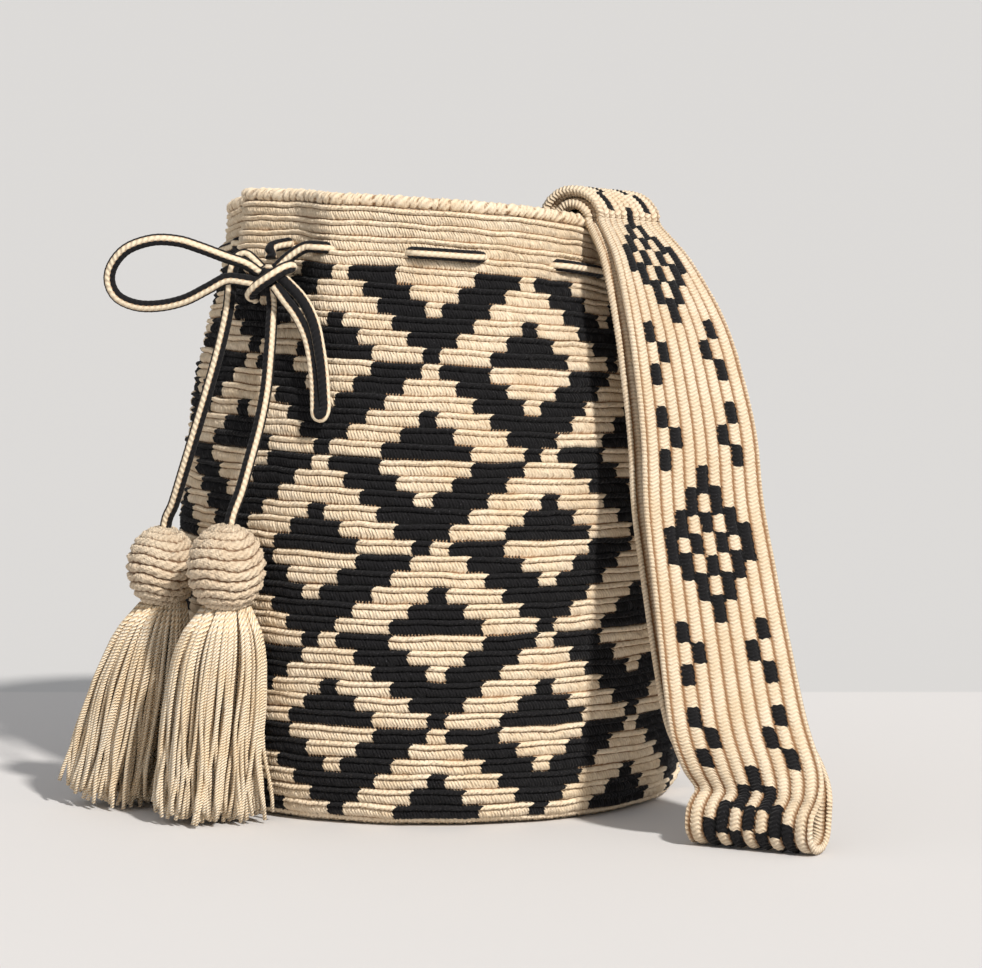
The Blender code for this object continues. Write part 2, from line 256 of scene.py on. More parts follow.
sun("window", 3.80, 30.0, 40.0, 4.0, (1.0, 0.970, 0.925))
print("camera at", list(camera.location))

# %% [markdown]
# ## Writing shader maths as expressions
# A material is a graph of nodes, and a long formula turns into a tangle of Math nodes. The
# small class below wraps a socket, so `1 - mask * 0.5` adds the nodes by itself. Colours are
# mixed by their own nodes, because a Math node would turn them grey.


# %% A socket that can be added, multiplied and compared
class Value:
    """A shader number. Each operator adds one Math node and wraps its result."""

    def __init__(self, shop, socket):
        self.shop, self.socket = shop, socket

    def math(self, operation, *others):
        values = [self, *others]
        return self.shop.node("ShaderNodeMath", {"operation": operation},
                              {number: value for number, value in enumerate(values)})

    def __add__(self, other):
        return self.math("ADD", other)

    def __mul__(self, other):
        return self.math("MULTIPLY", other)

    def __sub__(self, other):
        return self.math("SUBTRACT", other)

    def __rsub__(self, other):
        return self.shop.node("ShaderNodeMath", {"operation": "SUBTRACT"}, {0: other, 1: self})

    __radd__, __rmul__ = __add__, __mul__

    def between(self, low, high):
        """0 below low, 1 above high, and smooth in between."""
        return self.shop.node("ShaderNodeMapRange", {"interpolation_type": "SMOOTHSTEP"},
                              {"Value": self, "From Min": low, "From Max": high})


class Shop:
    """Builds one material: nodes in, a Principled shader out."""

    def __init__(self, name, **constants):
        self.material = bpy.data.materials.new(name)
        self.material.use_nodes = True
        self.tree = self.material.node_tree
        self.shader = self.tree.nodes["Principled BSDF"]
        for socket, number in constants.items():
            self.shader.inputs[socket.replace("_", " ")].default_value = number

    def plug(self, socket, value):
        if isinstance(value, Value):
            self.tree.links.new(value.socket, socket)
        else:
            socket.default_value = value

    def node(self, kind, settings=None, sockets=None, out=0):
        made = self.tree.nodes.new(kind)
        for key, setting in (settings or {}).items():
            setattr(made, key, setting)
        for key, value in (sockets or {}).items():
            self.plug(made.inputs[key], value)
        return Value(self, made.outputs[out])

    def place(self):
        return self.node("ShaderNodeTexCoord", out="Object")

    def number(self, name):
        return self.node("ShaderNodeAttribute", {"attribute_name": name}, out="Fac")

    def noise(self, where, scale, detail=2.0, roughness=0.5):
        return self.node("ShaderNodeTexNoise", None,
                         {"Vector": where, "Scale": scale, "Detail": detail,
                          "Roughness": roughness})

    def blend(self, share, low, high):
        """A colour: low where share is 0 and high where it is 1."""
        made = self.tree.nodes.new("ShaderNodeMix")
        made.data_type = "RGBA"
        for socket, value in zip((made.inputs[0], made.inputs[6], made.inputs[7]),
                                 (share, low, high)):
            self.plug(socket, value)
        return Value(self, made.outputs[2])

    def finish(self, colour, roughness, height, depth):
        """Colour and roughness on the shader, and the height through a Bump node."""
        self.plug(self.shader.inputs["Base Color"], colour)
        self.plug(self.shader.inputs["Roughness"], roughness)
        relief = self.node("ShaderNodeBump", None,
                           {"Height": height, "Distance": depth, "Strength": 1.0})
        self.plug(self.shader.inputs["Normal"], relief)
        return self.material


# %% [markdown]
# ## The floor
# A pale matt sheet with the faintest unevenness. Behind the bag its colour turns a little
# cooler, as where a tabletop gives way to the wall behind it.

# %% Floor
FLOOR_EDGE = 0.303       # metres behind the bag's middle


def floor_finish():
    shop = Shop("pale_matt_floor", Specular_IOR_Level=0.2)
    place = shop.place()
    behind = shop.node("ShaderNodeSeparateXYZ", None, {"Vector": place}, out="Y")
    cloud = shop.noise(place, 2.2, 2.0)
    grain = shop.noise(place, 900.0, 2.0)
    far = behind.between(FLOOR_EDGE - 0.004, FLOOR_EDGE + 0.004)
    tint = shop.blend(far, (0.665, 0.648, 0.640, 1.0), (0.580, 0.575, 0.572, 1.0))
    shade = shop.blend(cloud * 0.10, tint, (0.56, 0.545, 0.535, 1.0))
    return shop.finish(shade, 0.75 + grain * 0.1, grain, 0.00002)


def square_floor(half):
    mesh = bpy.data.meshes.new("floor")
    mesh.from_pydata([(-half, -half, 0), (half, -half, 0), (half, half, 0), (-half, half, 0)],
                     [], [(0, 1, 2, 3)])
    made = bpy.data.objects.new("floor", mesh)
    studio.collection.objects.link(made)
    mesh.materials.append(floor_finish())
    return made


square_floor(45.0)

# %% [markdown]
# ## Yarn
# The bag is made of one soft matt yarn in two colours. Each surface carries three numbers at
# every point: `black` says which colour the stitch was made in, `proud` says how far it stands
# out of the work, and `strand` marks the raised strands. The hollows between strands are
# painted warmer and darker than the strands, as painted shade of light that has bounced off
# yarn already, and the low strands are painted darker too. Pale flecks on the black yarn are a
# painted highlight. The loose fibres are a fine noise, which tints the yarn and lifts its
# surface by a tenth of a millimetre.

# %% Two colours of crochet yarn
CREAM = (0.800, 0.640, 0.440, 1.0)
CREAM_LIGHT = (0.900, 0.765, 0.580, 1.0)
# Painted shade: the colours painted into the hollows between strands.
CREAM_PAINTED_SHADE = (0.270, 0.140, 0.062, 1.0)
BLACK = (0.0075, 0.0070, 0.0080, 1.0)
BLACK_PAINTED_SHADE = (0.0020, 0.0018, 0.0020, 1.0)
# Painted highlight: pale flecks where loose fibres on the black yarn catch the light.
FIBRE_HIGHLIGHT = (0.085, 0.083, 0.090, 1.0)


def crochet_finish(name, cream=CREAM, light=CREAM_LIGHT, painted_shade=CREAM_PAINTED_SHADE):
    shop = Shop(name, Sheen_Weight=0.06, Sheen_Roughness=0.5, Specular_IOR_Level=0.22)
    place = shop.place()
    fuzz = shop.noise(place, 2600.0, 2.0, 0.65)
    loose = shop.noise(place, 800.0, 3.0, 0.6)
    patch = shop.noise(place, 60.0, 2.0)
    proud, strand = shop.number("proud"), shop.number("strand")
    # Painted shade: low points, by proud and fuzz, and the low strands are blended towards the
    # shade colour.
    lit = (proud + (fuzz - 0.5) * 0.5).between(0.02, 0.58)
    lit = lit * (0.66 + strand * 0.34)
    top = shop.blend((patch * 0.5 + loose * 0.5).between(0.35, 0.65), cream, light)
    pale = shop.blend(lit, painted_shade, top)
    # Painted highlight: pale fibre flecks on the raised strands of the black yarn.
    fibre_highlight = shop.noise(place, 1300.0, 2.0, 0.7).between(0.60, 0.74) * strand
    dark = shop.blend(fibre_highlight * 0.75, shop.blend(lit, BLACK_PAINTED_SHADE, BLACK), FIBRE_HIGHLIGHT)
    black = (shop.number("black") + (loose - 0.5) * 0.9).between(0.40, 0.60)
    return shop.finish(shop.blend(black, pale, dark), 0.82 + fuzz * 0.16,
                       strand * 0.55 + fuzz * 0.20 + loose * 0.45, 0.0010)


crochet = crochet_finish("cotton_crochet")
strap_crochet = crochet_finish("strap_crochet")
# The balls' yarn, with its own painted shade colour for the hollows.
tassel_crochet = crochet_finish("tassel_crochet", (0.690, 0.545, 0.385, 1.0),
                                (0.850, 0.710, 0.530, 1.0), (0.170, 0.090, 0.045, 1.0))

# %% [markdown]
# ## The pattern
# The motif is a stepped diamond, drawn stitch by stitch and row by row, and it repeats every
# twelve stitches and twelve rows. It could be typed in as a picture, but a few inequalities on
# the stitch's distance from the middle of the motif give every diamond on the bag. One slip in
# the counting runs diagonally across the front, as it does when a round is joined one stitch
# late, and it is kept because it is what makes the work look handmade.

# %% Which stitches are black
STITCHES = 84
MOTIF = 12


def in_motif(stitch, row):
    """Black where a small triangle, its base, or the stepped V below covers the stitch: its
    distance from the middle is at most the row, or lies in a band that narrows downwards."""
    away = np.abs(stitch)
    roof = (row <= 2) & (away <= row)
    arms = (row >= 3) & (row <= 5) & (away >= 6 - row) & (away <= 8 - row)
    point = (row >= 6) & (row <= 8) & (away <= 8 - row)
    return roof | arms | point


def is_black(stitch, row):
    """The motif, and the same one half a repeat across and down, with the slip taken out."""
    stitch = (stitch + STITCHES // 2) % STITCHES - STITCHES // 2
    slipped = (stitch + row >= 18) | (stitch + row < -24)
    stitch = np.where(slipped, stitch - 1, stitch)
    row = np.where(slipped, row + 1, row)
    centred = (stitch + MOTIF // 2) % MOTIF - MOTIF // 2
    shifted = (centred + MOTIF) % MOTIF - MOTIF // 2
    return (in_motif(centred, (row - 9) % MOTIF)
            | in_motif(shifted, (row - 15) % MOTIF))


sample_stitches, sample_rows = np.meshgrid(np.arange(-12, 13), np.arange(0, 24))
for line in is_black(sample_stitches, sample_rows):
    print("".join("#" if stitch else "." for stitch in line))

# %% [markdown]
# ## The shape of the wall
# Height is counted in rows of crochet: level 0 is the first patterned row, the plain rows of
# the mouth are above it at negative levels, and the rounds of the base come after the last
# patterned row. So a stitch has the same address in the pattern and on the surface.

# %% From level and stitch to a point on the bag
WALL = 0.0045
OUTER_SKIN = [           # radius and height down the outside, from the rim to the flat base
    (0.0955, 0.2755), (0.0953, 0.2640), (0.0967, 0.2520), (0.0995, 0.2360), (0.1051, 0.2110),
    (0.1125, 0.1700), (0.1165, 0.1300), (0.1172, 0.0950), (0.1155, 0.0550), (0.1128, 0.0250),
    (0.1102, 0.0100), (0.1070, 0.0030), (0.1020, 0.0000)]
PLAIN_ROWS = 4
PATTERN_ROWS = 35
PATTERN_TOP = 0.2448
PLAIN_ROW = 6.43 * MM
PATTERN_ROW = 6.90 * MM
PER_STITCH = 11          # columns of points in one stitch
COLUMNS = STITCHES * PER_STITCH
BASE_LIFT = 0.9 * MM


def level_of_base():
    """Levels from the first patterned row to the middle of the base."""
    return PATTERN_ROWS + SKIN_AT_FLOOR / PATTERN_ROW


def skin_at(level):
    """Radius and height of the outer skin: down the wall by rows, then inwards by rounds."""
    level = np.asarray(level, dtype=float)
    height = PATTERN_TOP - np.where(level < 0, level * PLAIN_ROW, level * PATTERN_ROW)
    radius = np.interp(height, SKIN[::-1, 1], SKIN[::-1, 0])
    round_in = np.maximum(level - PATTERN_ROWS, 0.0)
    turned = smoothstep(round_in / 0.9)
    radius = np.where(round_in > 0, SKIN_AT_FLOOR - round_in * PATTERN_ROW, radius)
    height = np.where(round_in > 0, FLOOR_TURN * (1 - turned) + BASE_LIFT * turned, height)
    return np.stack([np.maximum(radius, 0.2 * MM), height], axis=-1)


def skin_normal(level):
    """The way out of the skin: its slope turned by a quarter."""
    slope = skin_at(level + 0.02) - skin_at(level - 0.02)
    return unit(np.stack([-slope[..., 1], slope[..., 0]], axis=-1))


def stitch_angle(stitch, level):
    """Degrees round the bag. The stitches lean to the left going down, and are a little wider
    on one side of the bag than on the other."""
    leaning = stitch - 0.045 * np.clip(level, 0.0, 22.0)
    return 0.14 + leaning * 360.0 / STITCHES - 3.8 * np.sin(2 * np.pi * leaning / STITCHES)


def on_skin(level, stitch, out):
    """The settled point at each level (down) and stitch (across), moved out by `out` metres."""
    spot, normal = skin_at(level), skin_normal(level)
    radius = spot[..., 0] + out * normal[..., 0]
    height = spot[..., 1] + out * normal[..., 1]
    return settle(round_the_bag(stitch_angle(stitch, level), radius, height))


SKIN = smooth_curve(OUTER_SKIN, 0.001)
FLOOR_TURN = PATTERN_TOP - PATTERN_ROWS * PATTERN_ROW
SKIN_AT_FLOOR = float(np.interp(FLOOR_TURN, SKIN[::-1, 1], SKIN[::-1, 0]))
print("the base has", round(level_of_base() - PATTERN_ROWS, 1), "rounds")

# %% [markdown]
# ## One row of crochet
# Seen close, a row is two things. Along its top lies a chain, like a thin twisted rope, which
# stands proud and catches the light. Under it the posts of the stitches show as short slanting
# strands. Between one row and the next is a dark gap. Noise displacement would give rough
# cloth but not stitches, so the profile is a small table, carried down the wall row by row,
# and the columns of points zigzag with the strands: one way in the chain, the other below.

# %% The profile of a row, from its top edge down
ROW_PROFILE = np.array([
    # share, proud in mm, slant in columns, chain, posts, slip of a colour change in columns
    (0.00, -1.00, 0.0, 0.0, 0.0, 0.0),
    (0.07, 0.35, 0.8, 0.7, 0.0, 2.0),
    (0.15, 0.95, 0.5, 1.0, 0.0, 1.0),
    (0.24, 0.95, -0.5, 1.0, 0.0, 1.0),
    (0.32, 0.35, -0.8, 0.7, 0.0, 1.0),
    (0.38, -0.80, -0.9, 0.3, 0.3, 0.0),
    (0.48, 0.30, -1.0, 0.0, 1.0, 1.0),
    (0.68, 0.60, 0.0, 0.0, 1.0, 0.0),
    (0.90, 0.20, 1.0, 0.0, 0.8, 0.0)])
LINING_PROFILE = np.array([(0.00, -0.7), (0.25, 0.6), (0.65, 0.2)])
CHAIN_LUMP = 3           # columns in a lump of the chain
rng = np.random.default_rng(7)


def waves(levels, columns, size):
    """Slow unevenness: each row gets its own three sines round the bag, in random phase."""
    row = np.floor(levels).astype(int) - int(np.floor(levels[0]))
    phase = rng.uniform(0, 2 * np.pi, (3, row.max() + 2))
    turn = columns / COLUMNS * 2 * np.pi
    return size * sum(np.sin(turn * count + phase[k][row][:, None])
                      for k, count in enumerate((3, 7, 17))) / 2


def handmade(rows, size):
    """Uneven stitches: each row is lifted and dropped by its own slow random walk, smoothed
    over half a stitch."""
    kernel = np.hanning(2 * PER_STITCH)
    walk = rng.normal(0.0, 1.0, (rows.max() - rows.min() + 1, COLUMNS))
    turned = np.fft.irfft(np.fft.rfft(walk, axis=1)
                          * np.abs(np.fft.rfft(kernel, COLUMNS)) / kernel.sum() * 2.4, COLUMNS)
    return size * turned[rows - rows.min()]


def crochet_rows(first, last):
    """Level, stitch place, height above the skin and colour for every point of these rows."""
    rows = np.repeat(np.arange(first, last), len(ROW_PROFILE))
    table = np.tile(ROW_PROFILE, (last - first, 1))
    rows, table = np.append(rows, last), np.vstack([table, ROW_PROFILE[:1]])
    share, out, slant, chain, posts, slip = table.T
    columns = np.arange(COLUMNS) - (COLUMNS // 2)
    lump = np.cos(2 * np.pi * (columns / CHAIN_LUMP + 0.37 * rows[:, None]))
    strand = np.where((columns + rows[:, None]) % 2 == 0, 1.0, -1.0)
    height = (out[:, None] + 0.28 * chain[:, None] * lump + 0.26 * posts[:, None] * strand
              + rng.normal(0.0, 0.21, (len(rows), COLUMNS)))
    raised = (0.5 + chain[:, None] * (0.22 + 0.28 * lump) + 0.36 * posts[:, None] * strand
              + rng.normal(0.0, 0.24, (len(rows), COLUMNS)))
    stitch = (columns + slant[:, None]) / PER_STITCH
    worked = (columns[None, :] - slip[:, None].astype(int) + PER_STITCH // 2) // PER_STITCH
    teeth = np.where((share[:, None] == 0.0) & (columns % 2 == 0), 1, 0)
    pattern_row = rows[:, None] - teeth
    black = is_black(worked, pattern_row) & (pattern_row >= 0) & (pattern_row < PATTERN_ROWS)
    proud = np.clip((height + 1.0) / 2.0, 0.0, 1.0)
    level = rows + share
    wobble = waves(level, columns, 0.35)
    drift = waves(level, columns, 0.05) + handmade(rows, 0.035)
    level = level[:, None] + drift * (level[:, None] > level[0]) * (level[:, None] < level[-1])
    return (rows + share, level, stitch, (height + wobble) * MM, black.astype(float), proud,
            np.clip(raised, 0.0, 1.0))


def lining_rows(first, last):
    """The same for the inside, coarser, since it is seen only through the mouth."""
    rows = np.repeat(np.arange(first, last), len(LINING_PROFILE))
    table = np.tile(LINING_PROFILE, (last - first, 1))
    rows, table = np.append(rows, last), np.vstack([table, LINING_PROFILE[:1]])
    columns = np.arange(COLUMNS) - (COLUMNS // 2)
    strand = np.where((columns // 2 + rows[:, None]) % 2 == 0, 0.2, -0.2)
    height = table[:, 1:] + strand
    worked = np.broadcast_to((columns + PER_STITCH // 2) // PER_STITCH, height.shape)
    black = is_black(worked, rows[:, None]) & (rows[:, None] >= 0)
    proud = np.clip((height + 0.8) / 1.8, 0.0, 1.0)
    stitch = np.broadcast_to(columns / PER_STITCH, height.shape)
    level = np.broadcast_to((rows + table[:, 0])[:, None], height.shape)
    return (rows + table[:, 0], level, stitch, -WALL - height * MM, black.astype(float), proud,
            0.5 + 2.0 * strand)


# %% [markdown]
# ## The wall, in five bands
# A row has eleven columns of points in each of its 84 stitches, and the whole wall would be too
# many triangles for one piece. It is cut between rows into five bands. Each band is a closed
# ring: down the outside, across, up the lining and back across. Because neighbouring bands
# share the points of the gap between them, no seam shows.

# %% Wall bands
TURN_UNDER = PATTERN_ROWS + 1
BAND_ROWS = 8


def wall_band(name, first, last, outside, lining):
    """Outside rows going down, then lining rows going up, as one closed ring."""
    picked = [grid[(outside[0] >= first) & (outside[0] <= last)] for grid in outside]
    behind = [grid[(lining[0] >= first) & (lining[0] <= last)][::-1] for grid in lining]
    points = np.vstack([on_skin(*picked[1:4]), on_skin(*behind[1:4])])
    numbers = {key: np.vstack([picked[place], behind[place]])[None]
               for key, place in (("black", 4), ("proud", 5), ("strand", 6))}
    made = surface(name, points, crochet, ring=True, values=numbers)
    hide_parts("bag_body")
    return made


outside_rows = crochet_rows(-PLAIN_ROWS, TURN_UNDER)
inside_rows = lining_rows(-PLAIN_ROWS, TURN_UNDER)
for number, top_row in enumerate(range(-PLAIN_ROWS, TURN_UNDER, BAND_ROWS)):
    wall_band(f"wall_rows_{number + 1}", top_row, top_row + BAND_ROWS, outside_rows, inside_rows)

# %% [markdown]
# ## The base
# The base is worked in rounds from its middle outwards. It is seen only from below and through
# the mouth, so it has a third of the wall's columns and four rings of points in a round.

# %% Base
BASE_COLUMNS = COLUMNS // 3
ROUND_PROFILE = np.array([(0.00, -0.6), (0.15, 0.3), (0.30, 0.3), (0.60, 0.1)])


def make_base():
    """Lining side outwards from the middle, then the underside inwards to the middle."""
    rounds = np.arange(TURN_UNDER, math.floor(level_of_base()))
    share = np.tile(ROUND_PROFILE[:, 0], len(rounds))
    level = np.append(np.repeat(rounds, len(ROUND_PROFILE)) + share, level_of_base() - 0.1)
    out = np.append(np.tile(ROUND_PROFILE[:, 1], len(rounds)), 0.0)
    columns = np.arange(BASE_COLUMNS) - BASE_COLUMNS // 2
    strand = np.where(columns % 2 == 0, 0.12, -0.12)
    height = out[:, None] + strand * (out[:, None] > 0)
    stitch = np.broadcast_to(columns * STITCHES / BASE_COLUMNS, height.shape)
    level = np.broadcast_to(level[:, None], height.shape)
    inner = on_skin(level[::-1], stitch, (-WALL - height * MM)[::-1])
    outer = on_skin(level, stitch, height * MM)
    raised = 0.5 + 3 * strand + 0 * height
    proud = np.clip((np.vstack([height[::-1], height]) + 0.7) / 1.3, 0.0, 1.0)
    made = surface("base_rounds", np.vstack([inner, outer]), crochet,
                   values={"black": 0.0, "proud": proud[None],
                           "strand": np.vstack([raised, raised])[None]})
    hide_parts("bag_body")
    return made


make_base()

# %% [markdown]
# ## The edging of the mouth
# The last round is worked backwards, which twists each stitch into a bead. A row of separate
# beads would be hundreds of parts, so the edging is one closed rope whose radius swells once
# for each bead, with the twist of the strands laid over it.

# %% Edging
BEADS = 122
PER_BEAD = 8
EDGING_ROUND = 16
EDGING_MIDDLE = 0.2733


def make_edging():
    """A ring: middle of the rim plus a rounded section, swollen by the cosine of the bead and
    by finer cosines that run round it as its strands do."""
    bead = np.arange(BEADS * PER_BEAD) / PER_BEAD
    turn = np.arange(EDGING_ROUND) / EDGING_ROUND * 2 * np.pi
    pace = bead + 0.20 * np.sin(bead * 2.3) + 0.18 * np.sin(bead * 0.71)
    swell = np.cos(2 * np.pi * pace[None, :] + 1.1 * np.sin(turn)[:, None])
    strand = np.cos(2 * np.pi * 2 * pace[None, :] - 2 * turn[:, None])
    rough = rng.normal(0.0, 0.05, (EDGING_ROUND, len(bead)))
    size = 0.90 + 0.08 * swell + 0.06 * strand + rough
    middle = skin_at(np.array([-PLAIN_ROWS]))[0, 0] - WALL / 2
    radius = middle + 3.1 * MM * size * np.cos(turn)[:, None]
    height = EDGING_MIDDLE + 3.0 * MM * size * np.sin(turn)[:, None]
    angle = bead * 360.0 / BEADS + 0.6 * np.sin(turn)[:, None]
    points = settle(round_the_bag(angle, radius, height))[::-1]
    proud = np.clip((size - 0.70) / 0.32, 0.0, 1.0)[::-1]
    made = surface("mouth_edging", points, crochet, ring=True,
                   values={"black": 0.0, "proud": proud[None],
                           "strand": np.clip(0.6 + 0.4 * strand, 0.0, 1.0)[::-1][None]})
    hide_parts("bag_body")
    return made


make_edging()

# %% [markdown]
# ## The braided drawstring
# The cord is a round braid of four strands, two black and two cream, so four stripes run along
# it. It is soft and thin, and is bent and tied, so it is made as tubes along the same routes as
# in the model: round the mouth, two loops of a bow, and two tails that end in the tassels. The
# stripes and the small slanting stitches of the braid are drawn on the cord's own map, where
# one direction runs round it and the other along it. Painted shade darkens the cream where the
# strands meet, and pale flecks on the black are a painted highlight.

# %% Braided cord finish
BRAID_PITCH = 2.6 * MM


def braid_finish():
    shop = Shop("braided_cord", Sheen_Weight=0.06, Sheen_Roughness=0.5,
                Specular_IOR_Level=0.22)
    map_uv = shop.node("ShaderNodeUVMap", {"uv_map": "yarn"})
    parts = shop.tree.nodes.new("ShaderNodeSeparateXYZ")
    shop.plug(parts.inputs[0], map_uv)
    around, travel = (Value(shop, parts.outputs[k]) for k in (0, 1))
    place = shop.place()
    fuzz = shop.noise(place, 2600.0, 2.0, 0.65)
    turn = around * (4 * math.pi)
    stripe = turn.math("COSINE")
    slant = (travel * (2 * math.pi / BRAID_PITCH) + turn.math("SINE") * 1.6).math("SINE")
    black = (stripe + slant * 0.10 + (fuzz - 0.5) * 0.35).between(-0.56, -0.40)
    # Painted shade: the cream darkens where it meets the black strands and on one side of each
    # stitch.
    edge = (stripe + 0.45).math("ABSOLUTE")
    lit = (edge * 0.75 + slant * 0.11 + fuzz * 0.45).between(0.0, 0.62)
    pale = shop.blend(lit, CREAM_PAINTED_SHADE, (0.800, 0.670, 0.490, 1.0))
    # Painted highlight: pale fibre flecks on the black strands.
    fibre_highlight = shop.noise(place, 1700.0, 2.0, 0.7).between(0.66, 0.80)
    dark = shop.blend(fibre_highlight * 0.4, BLACK, FIBRE_HIGHLIGHT)
    return shop.finish(shop.blend(black, pale, dark), 0.8 + fuzz * 0.18,
                       slant * 0.22 + edge * 0.6 + fuzz * 0.25, 0.0007)


braided = braid_finish()

# %% Cord routes and tubes
CORD = 0.005             # diameter
CORD_SIDES = 16
EYELET_Z = 0.2515
EYELETS = 18
FIRST_EYELET = -27.0
CROSSING = 0.0050        # half the run along the wall in which the cord goes through it
KNOT_AT = np.array([-0.0735, -0.0790, 0.2385])
RUN_START = [(-0.0700, -0.0850, 0.2440), (-0.0640, -0.0850, 0.2495), (-0.0571, -0.0862, 0.2538)]
RUN_END = [(-0.0722, -0.0745, 0.2530), (-0.0725, -0.0765, 0.2485)]
BOW_LOOP = [
    (-0.0776, -0.0850, 0.2427), (-0.0830, -0.0868, 0.2465), (-0.0922, -0.0880, 0.2498),
    (-0.1032, -0.0880, 0.2539), (-0.1125, -0.0878, 0.2567), (-0.1236, -0.0870, 0.2571),
    (-0.1349, -0.0845, 0.2533), (-0.1416, -0.0815, 0.2462), (-0.1434, -0.0800, 0.2386),
    (-0.1399, -0.0805, 0.2317), (-0.1315, -0.0825, 0.2281), (-0.1212, -0.0845, 0.2280),
    (-0.1099, -0.0865, 0.2307), (-0.0996, -0.0880, 0.2359), (-0.0913, -0.0885, 0.2401),
    (-0.0830, -0.0890, 0.2394), (-0.0775, -0.0870, 0.2382)]
SHORT_LOOP = [
    (-0.0677, -0.0890, 0.2410), (-0.0625, -0.0908, 0.2362), (-0.0586, -0.0930, 0.2321),
    (-0.0551, -0.0958, 0.2267), (-0.0522, -0.0988, 0.2196), (-0.0503, -0.1017, 0.2106),
    (-0.0489, -0.1038, 0.2016), (-0.0481, -0.1056, 0.1925), (-0.0477, -0.1068, 0.1850),
    (-0.0492, -0.1082, 0.1812), (-0.0515, -0.1070, 0.1822), (-0.0519, -0.1042, 0.1875),
    (-0.0522, -0.1023, 0.1944), (-0.0532, -0.1005, 0.2034), (-0.0547, -0.0988, 0.2116),
    (-0.0572, -0.0970, 0.2188), (-0.0612, -0.0948, 0.2258), (-0.0657, -0.0920, 0.2313),
    (-0.0700, -0.0890, 0.2368)]
LEFT_TAIL = [
    (-0.0765, -0.0800, 0.2440), (-0.0800, -0.0785, 0.2475), (-0.0835, -0.0765, 0.2500),
    (-0.0868, -0.0760, 0.2490),
    (-0.0890, -0.0758, 0.2450), (-0.0901, -0.0760, 0.2388), (-0.0914, -0.0770, 0.2257),
    (-0.0954, -0.0780, 0.2080), (-0.1004, -0.0780, 0.1903), (-0.1059, -0.0760, 0.1724),
    (-0.1116, -0.0720, 0.1542), (-0.1165, -0.0665, 0.1388), (-0.1203, -0.0628, 0.1292),
    (-0.1219, -0.0620, 0.1095), (-0.1222, -0.0618, 0.0950), (-0.1245, -0.0600, 0.0780)]
RIGHT_TAIL = [
    (-0.0722, -0.0850, 0.2370), (-0.0715, -0.0835, 0.2288), (-0.0718, -0.0865, 0.2215),
    (-0.0725, -0.0905, 0.2090),
    (-0.0741, -0.0940, 0.1917), (-0.0771, -0.0965, 0.1765), (-0.0810, -0.0985, 0.1622),
    (-0.0850, -0.0995, 0.1482), (-0.0897, -0.1000, 0.1343), (-0.0917, -0.1000, 0.1136),
    (-0.0917, -0.1000, 0.0980), (-0.0925, -0.0995, 0.0800)]
TOWARDS_FRONT = (0.0, -1.0, 0.0)


def mouth_route():
    """Through the wall at each eyelet, alternately inwards and outwards, with the crossing at
    the wall's middle and the stretches between just clear of it."""
    pitch = 360.0 / EYELETS
    swing = WALL / 2 + CORD / 2 + 0.0006
    middle = float(np.interp(EYELET_Z, [0.236, 0.252, 0.264], [0.0995, 0.0967, 0.0953])) - WALL / 2
    reach = math.degrees(CROSSING / middle)
    stations = []
    for number in range(EYELETS):
        side = 1.0 if number % 2 == 0 else -1.0
        angle = FIRST_EYELET + number * pitch
        stations += [(angle - reach, side), (angle, 0.0), (angle + reach, -side)]
        if number < EYELETS - 1:
            stations.append((angle + pitch / 2, -side))
    angles, sides = np.array(stations).T
    return settle(round_the_bag(angles, middle + sides * swing, EYELET_Z)).tolist()


def braid(name, route, node, stripe, up=TOWARDS_FRONT, step=0.55 * MM, thick=CORD):
    """A tube whose four strands swell a little and whose stitches swell along them. stripe is
    the turn of a black strand from `up`, in degrees: one number, or one for each end."""
    path = smooth_curve(route, 1.0 * MM)
    run = lengths(path)
    path = along(path, np.linspace(0.0, run[-1], max(16, round(run[-1] / step))))
    turns = np.arange(CORD_SIDES + 1) / CORD_SIDES
    start, stop = stripe if isinstance(stripe, tuple) else (stripe, stripe)
    black = np.linspace(start, stop, len(path))[:, None] / 360.0
    strand = np.abs(np.cos(2 * np.pi * 2 * (turns[:-1] - black)))
    travel = lengths(path)
    stitch = np.sin(2 * np.pi * (travel[:, None] / BRAID_PITCH)
                    + 1.6 * np.sin(4 * np.pi * (turns[:-1] - black)))
    radius = thick / 2 * (0.99 + 0.07 * strand + 0.015 * stitch)
    made = tube(name, path, radius, braided, sides=CORD_SIDES, up=up,
                uv=(turns - start / 360.0, travel), twist=(stop - start) / 360.0)
    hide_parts(node)
    return made, path


braid("drawstring_round_mouth", RUN_START + mouth_route() + RUN_END,
      "drawstring_mouth_run", 0.0, up=(0.0, 0.0, 1.0))
bow, bow_path = braid("bow_loop", BOW_LOOP, "drawstring_bow_loop", 69.0)
short, short_path = braid("short_loop", SHORT_LOOP, "drawstring_short_loop", (-5.0, -69.0))
left_tail, left_path = braid("left_tail", LEFT_TAIL, "drawstring_left_tail", 69.0)
right_tail, right_path = braid("right_tail", RIGHT_TAIL, "drawstring_right_tail", -69.0)
print("cord lengths in mm:", [round(float(lengths(path)[-1]) * 1000) for path in
                              (bow_path, short_path, left_path, right_path)])

# %% [markdown]
# ## The knot
# Where the bow is tied, one turn of the cord lies slanting over the others. Tying it properly
# would hide most of the cord inside, so the knot is a rounded lump of the same braid with one
# short turn of cord laid over its front.

